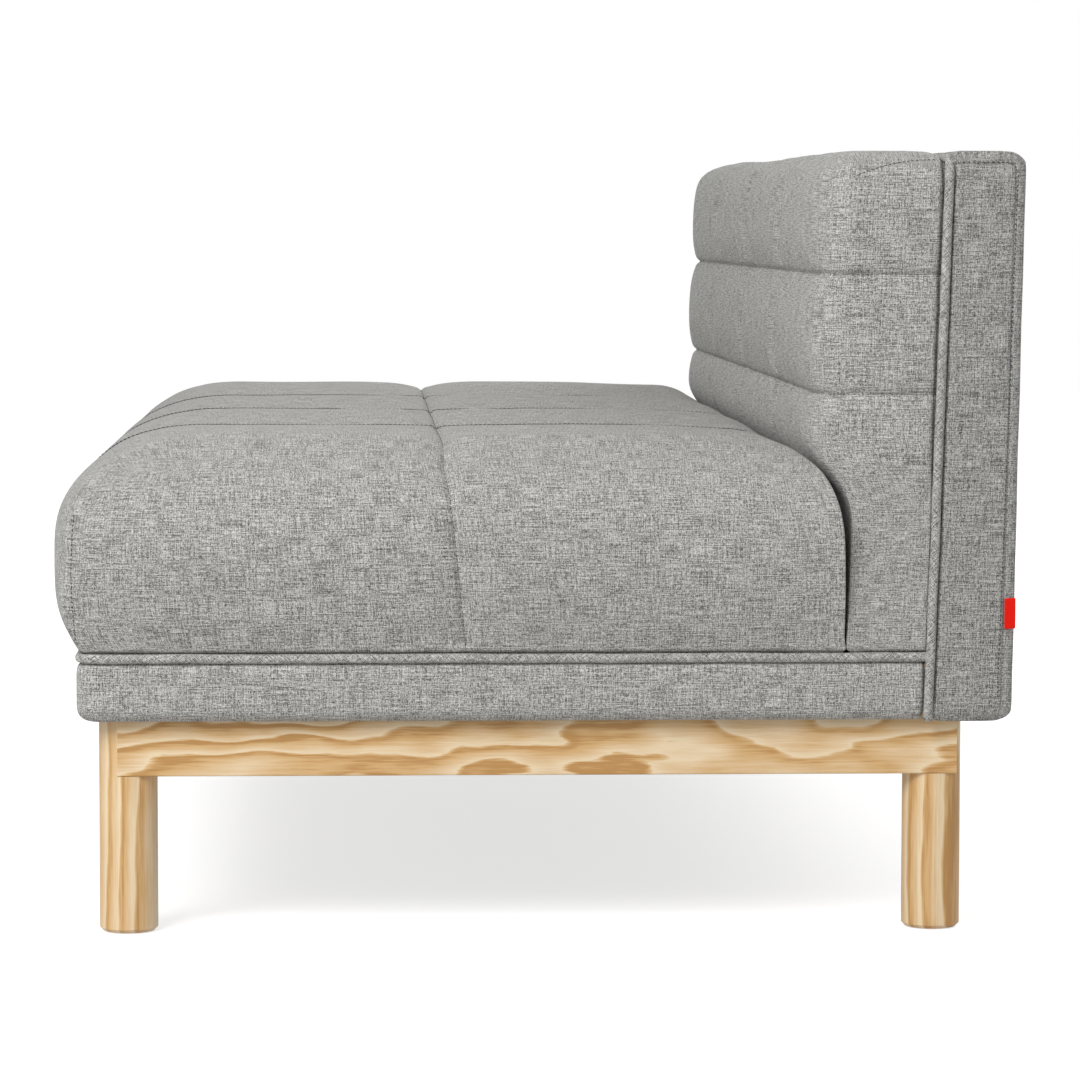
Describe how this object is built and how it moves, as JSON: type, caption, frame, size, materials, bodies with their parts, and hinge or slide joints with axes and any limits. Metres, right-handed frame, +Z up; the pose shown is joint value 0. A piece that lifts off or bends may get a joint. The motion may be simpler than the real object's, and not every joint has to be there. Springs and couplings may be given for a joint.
{
  "type": "tufted sofa",
  "caption": "Armless tufted sofa: biscuit-tufted tweed seat and leaning tufted back with piped welts, on a pale ash base with round legs and flush side rails.",
  "frame": {"origin": "on the floor, under the middle of the sofa's length and depth", "axes": "+X along the sofa's length to the right as seen from its front, +Y from the front to the back, +Z up"},
  "size_m": [1.524, 0.9309, 0.7544],
  "materials": {
    "tweed": "heathered grey tweed weave, matt",
    "ash": "clear-oiled pale ash, satin",
    "nylon": "moulded off-white nylon",
    "zinc": "zinc plated",
    "webbing": "woven elastic webbing",
    "foam": "open-cell foam",
    "cambric": "black spun-bonded cloth",
    "red_tab": "plain woven red ribbon",
    "fibreboard": "raw hardboard",
    "frame_timber": "raw sawn softwood"
  },
  "bodies": {
    "root": {"back_bolts": "zinc", "back_bottom_rail": "frame_timber", "back_cover": "tweed", "back_foam": "foam", "back_middle_rail_left": "frame_timber", "back_middle_rail_right": "frame_timber", "back_nuts": "zinc", "back_post_center": "frame_timber", "back_post_left": "frame_timber", "back_post_right": "frame_timber", "back_straps": "webbing", "back_top_rail": "frame_timber", "back_welt": "tweed", "base_bolts": "zinc", "center_stretcher": "ash", "corner_block_front_left": "frame_timber", "corner_block_front_right": "frame_timber", "corner_block_rear_left": "frame_timber", "corner_block_rear_right": "frame_timber", "deck_band": "tweed", "deck_welt": "tweed", "dust_cover": "cambric", "front_rail": "ash", "glides": "nylon", "label_tab": "red_tab", "leg_bolts": "zinc", "leg_front_left": "ash", "leg_front_right": "ash", "leg_rear_left": "ash", "leg_rear_right": "ash", "leg_washers": "zinc", "outside_back_board": "fibreboard", "outside_back_cover": "tweed", "rear_rail": "ash", "seat_cover": "tweed", "seat_cross_bar": "frame_timber", "seat_cross_straps": "webbing", "seat_foam": "foam", "seat_front_rail": "frame_timber", "seat_rear_rail": "frame_timber", "seat_side_rail_left": "frame_timber", "seat_side_rail_right": "frame_timber", "seat_straps": "webbing", "side_rail_left": "ash", "side_rail_right": "ash"}
  },
  "joints": []
}
